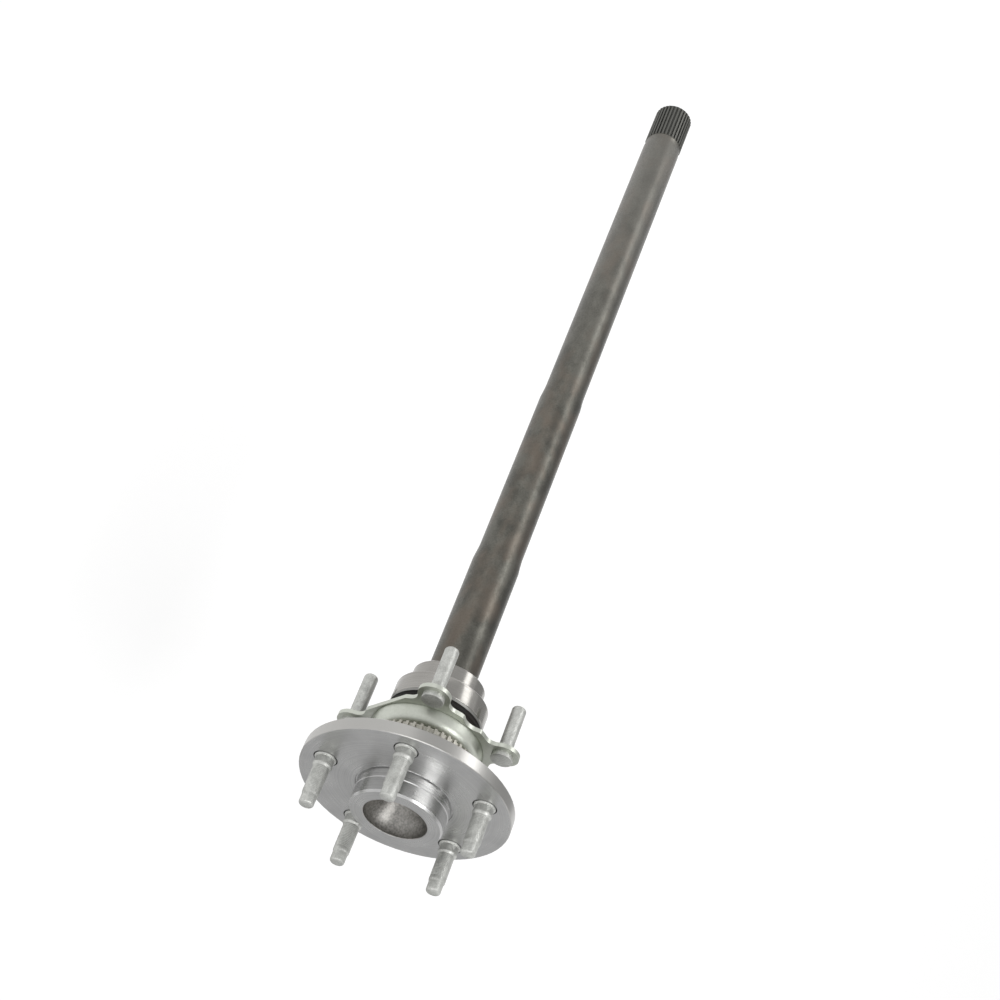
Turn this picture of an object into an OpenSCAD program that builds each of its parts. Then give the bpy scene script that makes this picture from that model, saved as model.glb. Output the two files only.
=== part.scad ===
// Rear axle shaft for a light off-road vehicle, as one assembly ready to fit to its housing.
// A forged shaft carries the wheel flange with five pressed studs, a toothed speed ring, a tapered
// roller bearing and its locking collar. A stamped retainer with four studs and an oil seal rides
// on the shaft and bolts the whole to the housing.
// Frame: +X points outboard along the axle, +Z up. The origin is the centre of the wheel face.
// Stations are counted from the wheel face towards the splined end, in millimetres.

/* [Wheel flange] */
// outside diameter of the flange
flange_d = 163.2; // [155:0.1:180]
// thickness of the flange
flange_t = 9.8; // [8:0.1:14]
// chamfer on both rims of the flange
flange_edge = 0.5; // [0.3:0.1:2]
// diameter of the pilot that centres the wheel
pilot_d = 71.5; // [66:0.1:76]
// how far the pilot stands out of the wheel face
pilot_len = 20.5; // [16:0.1:28]
// chamfer on the nose of the pilot
pilot_edge = 1.2; // [0.4:0.1:2.5]
// diameter of the pilot's root, which centres the brake disc
disc_pilot_d = 72.6; // [72:0.1:78]
// length of the pilot's root
disc_pilot_len = 8; // [4:0.1:12]
// width of the turned relief round the pilot
relief_w = 1.7; // [1:0.1:3]
// depth of the turned relief round the pilot
relief_depth = 0.8; // [0.5:0.1:2]
// radius at the inner foot of that relief
relief_round = 0.3; // [0.1:0.05:0.4]
// mouth diameter of the forged recess in the pilot
recess_d = 49; // [40:0.1:54]
// depth of the forged recess
recess_depth = 25; // [16:0.1:32]
// depth of the straight land inside its mouth
recess_land = 4.2; // [1:0.1:6]
// draft of the recess wall behind that land, degrees
recess_draft = 30; // [15:0.5:35]
// radius between the recess wall and its floor
recess_fillet = 8; // [3:0.5:12]
// rounding of the recess mouth
recess_lip = 0.7; // [0.3:0.1:0.9]

/* [Wheel studs] */
// diameter of the circle through the studs
stud_circle_d = 127; // [110:0.1:140]
// number of wheel studs
stud_count = 5; // [4:1:6]
// clock angle of the first stud, from up towards +Y
stud_clock = 29.2; // [0:0.1:72]
// thread diameter of a stud
stud_d = 12.7; // [11:0.1:14]
// reach of a stud past the wheel face
stud_reach = 40.5; // [34:0.1:60]
// diameter of the knurl pressed into the flange
knurl_d = 16.9; // [14.8:0.1:18]
// gap round a stud at the mouth of its hole
stud_sink = 1; // [0.3:0.1:1.2]
// depth of that gap
stud_sink_depth = 1.6; // [0.8:0.1:3]
// how far the knurl shows in front of the flange
knurl_show = 1; // [0.7:0.1:3]
// diameter of the shoulder in front of the knurl
shoulder_d = 14.2; // [13:0.1:15.5]
// length of the shoulder, from the wheel face
shoulder_len = 5.6; // [4:0.1:9]
// diameter of the bead that ends the shoulder
bead_d = 14.9; // [13.5:0.1:16]
// width of the bead
bead_w = 2; // [1.2:0.1:3]
// length of the slope from the bead down to the thread
bead_run = 1.4; // [0.6:0.1:2]
// diameter of the lead point
dog_d = 11.4; // [9:0.1:12]
// length of the lead point
dog_len = 10.2; // [6:0.1:14]
// diameter of the stud head behind the flange
stud_head_d = 22; // [19:0.1:26]
// thickness of the stud head
stud_head_t = 4.6; // [3:0.1:8]

/* [Shaft] */
// length of the axle from the wheel face to the splined end
axle_len = 796.5; // [740:0.5:900]
// diameter of the forged hub behind the flange
hub_d = 80; // [76:0.1:86]
// length of the hub, from the flange to the speed ring
hub_len = 16.7; // [12:0.1:26]
// radius between the hub and the flange
hub_fillet = 7; // [2:0.5:9]
// diameter of the ground land under the oil seal
journal_d = 48; // [45:0.1:52]
// radius at the outboard end of the seal land
journal_fillet = 4; // [1:0.5:6]
// diameter of the shaft next to the collar
near_d = 38.5; // [36.6:0.1:39.4]
// length of that section
near_len = 115; // [80:1:160]
// diameter of the middle section
mid_d = 36.2; // [34.6:0.1:38]
// length of the middle section
mid_len = 168; // [120:1:220]
// diameter of the section next to the spline, which takes the rest of the length
far_d = 34.3; // [33.8:0.1:35.6]
// length of the cone between two sections
taper_len = 14; // [6:1:24]

/* [Spline] */
// outside diameter of the spline
spline_d = 34.9; // [34:0.1:37]
// number of spline teeth
spline_teeth = 32; // [28:1:36]
// depth of the spline grooves
spline_depth = 1.5; // [1:0.1:2]
// length of the spline
spline_len = 45; // [30:1:70]
// length of the turned relief behind the spline
spline_relief = 8; // [4:0.5:14]
// depth of that relief
spline_relief_depth = 0.4; // [0.1:0.05:0.8]
// chamfer on the splined end
spline_edge = 2.6; // [0.8:0.1:3]
// mouth diameter of the lathe centre in the splined end
centre_d = 9; // [5:0.5:14]

/* [Speed ring] */
// number of teeth on the speed ring
ring_teeth = 50; // [40:1:60]
// clock angle of the first gap, from up towards +Y
ring_clock = 4.3; // [0:0.1:9]
// outside diameter of the speed ring
ring_d = 88; // [84:0.1:94]
// height of a tooth
ring_tooth_h = 2; // [1:0.1:3]
// share of the pitch that a gap takes at the root
ring_gap_share = 0.52; // [0.3:0.02:0.6]
// bore of the speed ring, pressed on the shaft
ring_bore = 72; // [66:0.1:75]
// width of the speed ring
ring_w = 10; // [6:0.1:14]

/* [Retainer plate] */
// thickness of the stamped plate
plate_t = 3.4; // [3:0.1:6]
// diameter of the plate between the ears
plate_d = 100; // [97:0.1:106]
// width across the two flats of the plate
plate_flats = 90; // [89:0.1:96]
// radius of an ear round its stud
ear_r = 12.5; // [10:0.1:15]
// radius between an ear and the plate
ear_fillet = 8; // [4:0.5:12]
// radius of the notch above and below
notch_r = 12; // [8:0.5:16]
// depth of the notch
notch_depth = 4.7; // [2:0.1:6]
// rounding of the notch's corners
notch_round = 3; // [1:0.5:5]
// outside diameter of the drawn hat
hat_d = 87; // [85:0.1:92]
// height of the hat in front of the plate
hat_h = 13; // [9:0.1:18]
// wall of the hat
hat_wall = 3.5; // [2.5:0.1:4.5]
// outer radius of the hat's shoulder
hat_round = 7; // [4.5:0.5:9]
// width of the groove pressed round the foot of the hat
hat_groove = 0.8; // [0.4:0.1:1.2]
// depth of that groove
hat_groove_depth = 0.7; // [0.3:0.1:1.2]
// hole through the hat
hat_hole_d = 62; // [56:0.1:68]
// free space between the speed ring and the hat
ring_space = 2; // [1:0.1:5]

/* [Retainer studs] */
// distance between the retainer studs, up and down
bolt_rise = 91; // [86:0.1:100]
// distance between the retainer studs, along Y
bolt_span = 75; // [72:0.1:90]
// thread diameter of a retainer stud
bolt_d = 11.1; // [9:0.1:12]
// diameter of the neck pressed into the plate
bolt_neck_d = 11.8; // [11.2:0.1:13]
// length of the neck behind the plate
bolt_neck_len = 3; // [1:0.1:6]
// reach of a retainer stud behind the plate
bolt_reach = 40.5; // [24:0.5:50]
// diameter of the low round head
bolt_head_d = 17; // [14:0.1:20]
// height of the head
bolt_head_h = 4; // [3:0.1:7]
// radius of the rounded nose
bolt_nose = 3; // [1:0.1:4]

/* [Oil seal] */
// distance from the plate to the bearing cup
seal_w = 16.6; // [14:0.1:22]
// sheet thickness of the seal case
case_t = 1.2; // [0.8:0.1:1.6]
// how deep the case sits in the hat, from the plate's back
case_seat = 9.5; // [6:0.1:12]
// how far the wide part of the case stands behind the plate
case_step = 2.7; // [1.5:0.1:5]
// outside diameter of the case's sleeve
sleeve_d = 70; // [68:0.1:71.5]
// diameter of the sleeve's end flange
sleeve_flange_d = 72.6; // [72:0.1:73]
// thickness of that flange
sleeve_flange_t = 2.2; // [1:0.1:3]
// rubber thickness over the sleeve
jacket_t = 0.9; // [0.5:0.1:1.4]
// height of the ribs on that rubber
jacket_rib = 0.5; // [0.2:0.1:0.8]
// inside diameter of the web that carries the lip
web_d = 60; // [56:0.1:64]
// clearance between the lip and the shaft
lip_gap = 0.3; // [0.1:0.05:0.5]
// thickness of the lip's rubber
lip_t = 2.2; // [1.5:0.1:3]
// how far the lip runs past its sealing edge
lip_over = 1.6; // [1.4:0.1:2]
// free space between the lip and the bearing cone
lip_space = 2; // [1:0.1:3]
// wire diameter of the garter spring
spring_d = 2; // [1.2:0.1:2.6]

/* [Bearing] */
// bore of the bearing and of the collar
bearing_bore = 39.688; // [39.5:0.001:42]
// outside diameter of the bearing cup
cup_d = 73.025; // [73:0.001:76]
// width of the bearing cup
cup_w = 16; // [15:0.1:20]
// edge radius of the cup
cup_edge = 1.2; // [0.4:0.1:2]
// width of the bearing cone
cone_w = 20; // [19:0.1:24]
// how far the cone stands out of the cup, outboard
cone_lead = 3.5; // [2.5:0.1:5]
// number of rollers
roller_count = 18; // [14:1:20]
// diameter of the circle through the roller centres
roller_circle_d = 57.2; // [56:0.1:58.5]
// mean diameter of a roller
roller_d = 6.6; // [5.6:0.1:7.2]
// length of a roller
roller_len = 12; // [9:0.1:12.5]
// slope of the roller axes, degrees
roller_slope = 13; // [10:0.5:15]
// play between a roller and what it runs on
race_gap = 0.12; // [0.05:0.01:0.25]
// height of the two ribs of the cone
rib_h = 1.3; // [0.8:0.1:2]
// sheet thickness of the cage
cage_t = 1.2; // [0.8:0.1:1.6]
// play of a roller in its pocket
pocket_gap = 0.25; // [0.15:0.01:0.5]
// width of the cage's rim at the wide end
cage_rim = 1.8; // [1.2:0.1:2.2]

/* [Locking collar] */
// outside diameter of the collar
collar_d = 57.4; // [54:0.1:64]
// width of the collar
collar_w = 16; // [12:0.1:24]
// chamfer on the collar
collar_edge = 1.2; // [0.4:0.1:3]
// how far the ground seat runs past the collar
seat_over = 1.5; // [0.5:0.1:5]

/* [Hidden] */
$fn = 96;
// a short overlap that makes cuts pass right through
past = 1;

// stations from the wheel face, positive towards the spline
ring_at = flange_t + hub_len;
hat_at = ring_at + ring_w + ring_space;
plate_at = hat_at + hat_h;
plate_back = plate_at + plate_t;
cup_at = plate_back + seal_w;
cup_end = cup_at + cup_w;
cone_at = cup_at - cone_lead;
collar_at = cone_at + cone_w;
collar_end = collar_at + collar_w;
near_at = collar_end + seat_over;
mid_at = near_at + near_len + taper_len;
far_at = mid_at + mid_len + taper_len;
shaft_end = axle_len;
spline_at = shaft_end - spline_len;
relief_at = spline_at - spline_relief;
// the solid bar under the spline teeth
spline_core_r = spline_d / 2 - max(spline_depth, spline_edge) - past / 2;

// stations of the seal's parts
case_front = plate_back - case_seat;
case_back = plate_back + case_step;
web_at = case_back + 0.8;
lip_at = cone_at - lip_space - lip_over;

// the bearing's cones share one apex on the axis
roller_mid = (cup_at + cup_end) / 2;
apex = roller_mid - roller_circle_d / 2 / tan(roller_slope);
apex_reach = roller_circle_d / 2 / sin(roller_slope);
roller_half_angle = atan(roller_d / 2 / apex_reach);
inner_angle = roller_slope - roller_half_angle;
outer_angle = roller_slope + roller_half_angle;
big_reach = apex_reach + roller_len / 2;
small_reach = apex_reach - roller_len / 2;
roller_chamfer = 0.4;

function inner_race(station) = (station - apex) * tan(inner_angle) - race_gap / cos(inner_angle);
function outer_race(station) = (station - apex) * tan(outer_angle) + race_gap / cos(outer_angle);
function pitch_cone(station) = (station - apex) * tan(roller_slope);
// station at which a plane square to the roller axes, reach from the apex, meets the radius
function end_plane(reach, radius) = apex + reach / cos(roller_slope) - radius * tan(roller_slope);
// radius at which such a plane meets the inner race
function race_end(reach) = reach / cos(roller_slope) * tan(inner_angle)
    / (1 + tan(roller_slope) * tan(inner_angle));

bolt_points = [for (u = [-1, 1]) for (v = [-1, 1]) [u * bolt_rise / 2, v * bolt_span / 2]];
bolt_circle_r = norm([bolt_rise, bolt_span]) / 2;

function unit(v) = v / norm(v);
function at_angle(radius, angle) = radius * [cos(angle), sin(angle)];

ROLLERS = [for (i = [1:roller_count]) str("roller_", i)];

// turns the axial frame, z inboard and x up, into the part's frame
module axial() {
    rotate([0, -90, 0])
        children();
}

// the sliver between the corner p, with edges towards a and b, and the arc that rounds it,
// reaching a little past p so that it joins or cuts cleanly
module corner(p, a, b, radius) {
    u = unit(a - p);
    v = unit(b - p);
    half = acos(u * v) / 2;
    reach = radius / tan(half);
    centre = p + unit(u + v) * radius / sin(half);
    difference() {
        polygon([p - unit(u + v) * past, p + u * reach, centre, p + v * reach]);
        translate(centre)
            circle(radius);
    }
}

// a rectangle of the revolved section, from radius r0 to r1 and station s0 to s1
module band(r0, r1, s0, s1) {
    translate([r0, s0])
        square([r1 - r0, s1 - s0]);
}

// half section of the forging, without spline teeth and stud holes
module shaft_section() {
    nose = -pilot_len;
    floor_at = nose + recess_depth;
    mouth_r = recess_d / 2;
    wall_at = nose + recess_land;
    floor_r = max(6, mouth_r - (recess_depth - recess_land) * tan(recess_draft));
    pilot_r = pilot_d / 2;
    disc_r = disc_pilot_d / 2;
    rim_r = flange_d / 2;
    hub_r = hub_d / 2;
    seat_r = ring_bore / 2;
    land_r = journal_d / 2;
    bore_r = bearing_bore / 2;
    land_at = ring_at + ring_w + 1;
    step = disc_r - pilot_r;
    difference() {
        polygon([
            [0, floor_at],
            [floor_r, floor_at],
            [mouth_r, wall_at],
            [mouth_r, nose],
            [pilot_r - pilot_edge, nose],
            [pilot_r, nose + pilot_edge * 1.4],
            [pilot_r, -disc_pilot_len],
            [disc_r, step - disc_pilot_len],
            [disc_r, relief_depth],
            [disc_r + relief_w - relief_depth * 0.4, relief_depth],
            [disc_r + relief_w, 0],
            [rim_r - flange_edge, 0],
            [rim_r, flange_edge],
            [rim_r, flange_t - flange_edge],
            [rim_r - flange_edge, flange_t],
            [hub_r, flange_t],
            [hub_r, ring_at],
            [seat_r, ring_at],
            [seat_r, land_at - 0.6],
            [seat_r - 0.6, land_at],
            [land_r, land_at],
            [land_r, cone_at],
            [bore_r, cone_at],
            [bore_r, near_at],
            [near_d / 2, near_at + bore_r - near_d / 2],
            [near_d / 2, near_at + near_len],
            [mid_d / 2, mid_at],
            [mid_d / 2, mid_at + mid_len],
            [far_d / 2, far_at],
            [far_d / 2, relief_at],
            [far_d / 2 - spline_relief_depth, relief_at + spline_relief_depth * 2],
            [far_d / 2 - spline_relief_depth, spline_at],
            [spline_core_r, spline_at],
            [spline_core_r, shaft_end],
            [centre_d / 2, shaft_end],
            [0, shaft_end - centre_d / 2 / tan(30)]
        ]);
        corner([mouth_r, nose], [pilot_r, nose], [mouth_r, wall_at], recess_lip);
    }
    corner([floor_r, floor_at], [0, floor_at], [mouth_r, wall_at], recess_fillet);
    corner([disc_r, relief_depth], [disc_r, 0], [rim_r, relief_depth], relief_round);
    corner([hub_r, flange_t], [rim_r, flange_t], [hub_r, ring_at], hub_fillet);
    corner([land_r, land_at], [seat_r, land_at], [land_r, cone_at], journal_fillet);
}

// cross section of the spline: a round bar with tapering grooves
module spline_section() {
    tip_r = spline_d / 2;
    root_r = tip_r - spline_depth;
    pitch = 360 / spline_teeth;
    difference() {
        circle(tip_r);
        for (i = [0:spline_teeth - 1])
            rotate(i * pitch)
                polygon([
                    at_angle(root_r, -pitch * 0.14),
                    at_angle(tip_r + past, -pitch * 0.36),
                    at_angle(tip_r + past, pitch * 0.36),
                    at_angle(root_r, pitch * 0.14)
                ]);
    }
}

// outline that trims the spline's two ends
module spline_envelope() {
    tip_r = spline_d / 2;
    polygon([
        [spline_core_r - past, spline_at],
        [far_d / 2 - spline_relief_depth, spline_at],
        [tip_r, spline_at + tip_r - far_d / 2 + spline_relief_depth],
        [tip_r, shaft_end - spline_edge * 1.2],
        [tip_r - spline_edge, shaft_end],
        [spline_core_r - past, shaft_end]
    ]);
}

module spline_teeth_ring() {
    intersection() {
        translate([0, 0, spline_at])
            linear_extrude(spline_len)
                spline_section();
        rotate_extrude()
            spline_envelope();
    }
}

// repeats a piece at each wheel stud
module at_wheel_studs() {
    for (i = [0:stud_count - 1])
        rotate(stud_clock + i * 360 / stud_count)
            translate([stud_circle_d / 2, 0, 0])
                children();
}

// stud hole, a little wider at its mouth on the wheel face
module stud_hole() {
    hole_r = knurl_d / 2;
    translate([0, 0, -past])
        cylinder(h = flange_t + 2 * past, r = hole_r);
    translate([0, 0, -past])
        cylinder(h = stud_sink_depth + past, r1 = hole_r + stud_sink, r2 = hole_r);
}

module axle_shaft() {
    color("DimGray")
        axial() {
            difference() {
                union() {
                    rotate_extrude()
                        shaft_section();
                    spline_teeth_ring();
                }
                at_wheel_studs()
                    stud_hole();
            }
        }
}

// half section of one wheel stud, head inboard
module stud_section() {
    head_r = stud_head_d / 2;
    head_end = flange_t + stud_head_t;
    polygon([
        [0, head_end],
        [head_r - 1, head_end],
        [head_r, head_end - 1],
        [head_r, flange_t],
        [knurl_d / 2, flange_t],
        [knurl_d / 2, 0.6 - knurl_show],
        [knurl_d / 2 - 0.6, -knurl_show],
        [shoulder_d / 2, -knurl_show],
        [shoulder_d / 2, -shoulder_len],
        [bead_d / 2, -shoulder_len - 0.6],
        [bead_d / 2, -shoulder_len - bead_w],
        [stud_d / 2, -shoulder_len - bead_w - bead_run],
        [stud_d / 2, dog_len - stud_reach + 0.8],
        [dog_d / 2, dog_len - stud_reach],
        [dog_d / 2, 1.3 - stud_reach],
        [dog_d / 2 - 1.1, -stud_reach],
        [0, -stud_reach]
    ]);
}

module wheel_studs() {
    color("LightGray")
        axial()
            at_wheel_studs()
                rotate_extrude()
                    stud_section();
}

// toothed outline of the speed ring
module ring_section() {
    tip_r = ring_d / 2;
    root_r = tip_r - ring_tooth_h;
    pitch = 360 / ring_teeth;
    half_gap = pitch * ring_gap_share / 2;
    difference() {
        circle(tip_r);
        circle(ring_bore / 2);
        for (i = [0:ring_teeth - 1])
            rotate(ring_clock + i * pitch)
                polygon([
                    at_angle(root_r, -half_gap),
                    at_angle(tip_r + past, -half_gap * 1.35),
                    at_angle(tip_r + past, half_gap * 1.35),
                    at_angle(root_r, half_gap)
                ]);
    }
}

module speed_ring() {
    color("Ivory")
        axial()
            translate([0, 0, ring_at])
                linear_extrude(ring_w)
                    ring_section();
}

// one ear with the two radii that lead it into the plate
module ear(point) {
    body_r = plate_d / 2;
    heading = atan2(point[1], point[0]);
    from_axis = norm(point);
    fillet_r = body_r + ear_fillet;
    spread = acos((pow(from_axis, 2) + pow(fillet_r, 2) - pow(ear_r + ear_fillet, 2))
        / (2 * from_axis * fillet_r));
    translate(point)
        circle(ear_r);
    for (side = [-1, 1]) {
        centre = at_angle(fillet_r, heading + side * spread);
        // a little short of the points where the arcs touch
        short = centre + (unit(point - centre) - unit(centre)) * 0.4;
        difference() {
            polygon([[0, 0], point, short]);
            translate(centre)
                circle(ear_fillet);
        }
    }
}

// the notch above or below, with its corners rounded into the plate
module notch() {
    body_r = plate_d / 2;
    middle = [body_r - notch_depth + notch_r, 0];
    inner_r = body_r - notch_round;
    reach = notch_round + past;
    swing = acos((pow(middle[0], 2) + pow(inner_r, 2) - pow(notch_r + notch_round, 2))
        / (2 * middle[0] * inner_r));
    translate(middle)
        circle(notch_r);
    for (side = [-1, 1]) {
        centre = at_angle(inner_r, side * swing);
        radial = unit(centre);
        across = unit(middle - centre);
        // a little short of the points where the arcs touch
        outward = unit(radial + across * 0.06) * reach;
        inward = unit(across + radial * 0.06) * reach;
        difference() {
            polygon([centre, centre + outward, centre + outward + inward, centre + inward]);
            translate(centre)
                circle(notch_round);
        }
    }
}

// outline of the stamped plate
module plate_outline() {
    difference() {
        union() {
            intersection() {
                circle(plate_d / 2);
                square([plate_d + past, plate_flats], center = true);
            }
            for (point = bolt_points)
                ear(point);
        }
        circle(hat_d / 2 - hat_wall);
        for (turn = [0, 180])
            rotate(turn)
                notch();
        for (point = bolt_points)
            translate(point)
                circle(bolt_neck_d / 2);
    }
}

// half section of the drawn hat
module hat_section() {
    outer = hat_d / 2;
    inner = outer - hat_wall;
    hole = hat_hole_d / 2;
    middle = plate_at + plate_t / 2;
    difference() {
        union() {
            band(hole, outer, hat_at, hat_at + hat_wall);
            band(inner, outer, hat_at, middle);
            corner([inner, hat_at + hat_wall], [inner, middle], [hole, hat_at + hat_wall],
                hat_round - hat_wall);
        }
        corner([outer, hat_at], [outer, middle], [hole, hat_at], hat_round);
    }
}

// half section of the groove round the hat's foot, past the plate's front and the hat's side
module hat_groove_section() {
    outer = hat_d / 2;
    polygon([
        [outer - past, plate_at - past],
        [outer + hat_groove + past * 0.4, plate_at - past],
        [outer + hat_groove, plate_at],
        [outer + hat_groove * 0.6, plate_at + hat_groove_depth],
        [outer - past, plate_at + hat_groove_depth]
    ]);
}

module retainer_plate() {
    color("Silver")
        axial() {
            difference() {
                translate([0, 0, plate_at])
                    linear_extrude(plate_t)
                        plate_outline();
                rotate_extrude()
                    hat_groove_section();
            }
            rotate_extrude()
                hat_section();
        }
}

// half section of one retainer stud, head outboard
module bolt_section() {
    head_r = bolt_head_d / 2;
    tip = plate_back + bolt_reach;
    bolt_r = bolt_d / 2;
    neck_end = plate_back + bolt_neck_len;
    difference() {
        polygon([
            [0, plate_at - bolt_head_h],
            [head_r - 0.6, plate_at - bolt_head_h],
            [head_r, plate_at - bolt_head_h + 0.6],
            [head_r, plate_at],
            [bolt_neck_d / 2, plate_at],
            [bolt_neck_d / 2, neck_end],
            [bolt_r, neck_end + bolt_neck_d / 2 - bolt_r],
            [bolt_r, tip],
            [0, tip]
        ]);
        corner([bolt_r, tip], [0, tip], [bolt_r, neck_end], bolt_nose);
    }
}

module retainer_studs() {
    color("LightGray")
        axial()
            for (point = bolt_points)
                translate([point[0], point[1], 0])
                    rotate_extrude()
                        bolt_section();
}

// half section of the pressed seal case
module case_section() {
    seat_r = hat_d / 2 - hat_wall;
    sleeve_r = sleeve_d / 2;
    bore_r = sleeve_r - case_t;
    band(seat_r - case_t, seat_r, case_front, case_back);
    band(bore_r, seat_r, case_back - case_t, case_back);
    band(bore_r, sleeve_r, case_back - case_t, cup_at);
    band(bore_r, sleeve_flange_d / 2, cup_at - sleeve_flange_t, cup_at);
    band(web_d / 2, bore_r, web_at, web_at + case_t);
}

module seal_case() {
    color("Gray")
        axial()
            rotate_extrude()
                case_section();
}

// rubber over the sleeve, with two sealing ribs
module housing_seal() {
    inner = sleeve_d / 2;
    outer = inner + jacket_t;
    length = cup_at - sleeve_flange_t - case_back;
    color("Black")
        axial()
            rotate_extrude() {
                band(inner, outer, case_back, cup_at - sleeve_flange_t);
                for (share = [0.3, 0.7])
                    translate([outer, case_back + length * share])
                        polygon([[-0.2, -1.6], [jacket_rib, -0.6], [jacket_rib, 0.6], [-0.2, 1.6]]);
            }
}

// half section of the lip that runs on the ground land
module lip_section() {
    edge = journal_d / 2 + lip_gap;
    web_r = web_d / 2;
    difference() {
        polygon([
            [web_r, web_at],
            [web_r, web_at + case_t],
            [web_r - lip_t, web_at + case_t + 1],
            [edge + lip_t + 0.6, lip_at - 1.4],
            [edge + lip_t, lip_at + lip_over],
            [edge + 0.6, lip_at + 1.4],
            [edge, lip_at],
            [edge + lip_t * 0.5, web_at + case_t],
            [web_r - lip_t * 1.2, web_at - 0.6],
            [web_r - lip_t * 0.4, web_at - 0.6]
        ]);
        translate([edge + lip_t + spring_d * 0.4, lip_at])
            circle(spring_d / 2 + 0.05);
    }
}

module oil_seal_lip() {
    color("Black")
        axial()
            rotate_extrude()
                lip_section();
}

module garter_spring() {
    edge = journal_d / 2 + lip_gap;
    color("Silver")
        axial()
            rotate_extrude()
                translate([edge + lip_t + spring_d * 0.4, lip_at])
                    circle(spring_d / 2);
}

// half section of the outer race
module cup_section() {
    cup_r = cup_d / 2;
    difference() {
        polygon([
            [outer_race(cup_at), cup_at],
            [cup_r, cup_at],
            [cup_r, cup_end],
            [outer_race(cup_end), cup_end]
        ]);
        corner([cup_r, cup_at], [outer_race(cup_at), cup_at], [cup_r, cup_end], cup_edge);
        corner([cup_r, cup_end], [outer_race(cup_end), cup_end], [cup_r, cup_at], cup_edge);
    }
}

module bearing_cup() {
    color("LightSteelBlue")
        axial()
            rotate_extrude()
                cup_section();
}

// half section of the inner race, with the ribs that guide the rollers
module cone_section() {
    bore_r = bearing_bore / 2;
    small_end = small_reach - race_gap;
    big_end = big_reach + race_gap;
    small_r = race_end(small_end) - race_gap / cos(inner_angle);
    big_r = race_end(big_end) - race_gap / cos(inner_angle);
    polygon([
        [bore_r, cone_at],
        [small_r + rib_h - 0.6, cone_at],
        [small_r + rib_h, cone_at + 0.6],
        [small_r + rib_h, end_plane(small_end, small_r + rib_h)],
        [small_r, end_plane(small_end, small_r)],
        [big_r, end_plane(big_end, big_r)],
        [big_r + rib_h * 1.6, end_plane(big_end, big_r + rib_h * 1.6)],
        [big_r + rib_h * 1.6, collar_at],
        [bore_r, collar_at]
    ]);
}

module bearing_cone() {
    color("LightSteelBlue")
        axial()
            rotate_extrude()
                cone_section();
}

// sets a piece on the axis of roller i, z pointing away from the apex
module on_roller(i) {
    translate([0, 0, apex])
        rotate((i - 1) * 360 / roller_count)
            rotate([0, roller_slope, 0])
                children();
}

// half section of a roller, grown by play on every side
module roller_section(play, chamfer) {
    start = small_reach - play;
    finish = big_reach + play;
    slope = tan(roller_half_angle);
    polygon([
        [0, start],
        [start * slope + play - chamfer, start],
        [(start + chamfer) * slope + play, start + chamfer],
        [(finish - chamfer) * slope + play, finish - chamfer],
        [finish * slope + play - chamfer, finish],
        [0, finish]
    ]);
}

module roller(i) {
    color("SteelBlue")
        axial()
            on_roller(i)
                rotate_extrude()
                    roller_section(0, roller_chamfer);
}

// stamped cage: a thin cone with one pocket for each roller
module roller_cage() {
    start = end_plane(small_reach - pocket_gap, pitch_cone(cup_at)) - 1.2;
    finish = end_plane(big_reach + pocket_gap, pitch_cone(cup_end)) + cage_rim;
    lift = 0.3;
    color("Tan")
        axial()
            difference() {
                rotate_extrude()
                    polygon([
                        [pitch_cone(start) + lift, start],
                        [pitch_cone(start) + lift + cage_t, start],
                        [pitch_cone(finish) + lift + cage_t, finish],
                        [pitch_cone(finish) + lift, finish]
                    ]);
                for (i = [1:roller_count])
                    on_roller(i)
                        rotate_extrude()
                            roller_section(pocket_gap, 0);
            }
}

// half section of the collar that locks the bearing on the shaft
module collar_section() {
    outer = collar_d / 2;
    bore_r = bearing_bore / 2;
    polygon([
        [bore_r, collar_at],
        [outer - collar_edge / 2, collar_at],
        [outer, collar_at + collar_edge / 2],
        [outer, collar_end - collar_edge],
        [outer - collar_edge, collar_end],
        [bore_r + collar_edge, collar_end],
        [bore_r, collar_end - collar_edge]
    ]);
}

module locking_collar() {
    color("LightSteelBlue")
        axial()
            rotate_extrude()
                collar_section();
}

axle_shaft();
wheel_studs();
speed_ring();
retainer_plate();
retainer_studs();
seal_case();
housing_seal();
oil_seal_lip();
garter_spring();
bearing_cup();
bearing_cone();
roller_cage();
locking_collar();
for (i = [1:roller_count])
    roller(i);
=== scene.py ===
"""Looks of a flanged rear axle shaft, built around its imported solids.

The solids give every place and size. This script smooths them, cuts the threads, leans the wall of
the plate's hat, winds the seal's spring, gives each piece its finish and sets up a plain pale studio
with the photograph's camera. All lengths in the classes are millimetres; meshes are in metres, +X
outboard, +Z up.
"""

import logging
import math
from collections.abc import Iterable, Sequence
from dataclasses import dataclass
from enum import Enum

import bmesh
import bpy
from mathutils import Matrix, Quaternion, Vector

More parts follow.
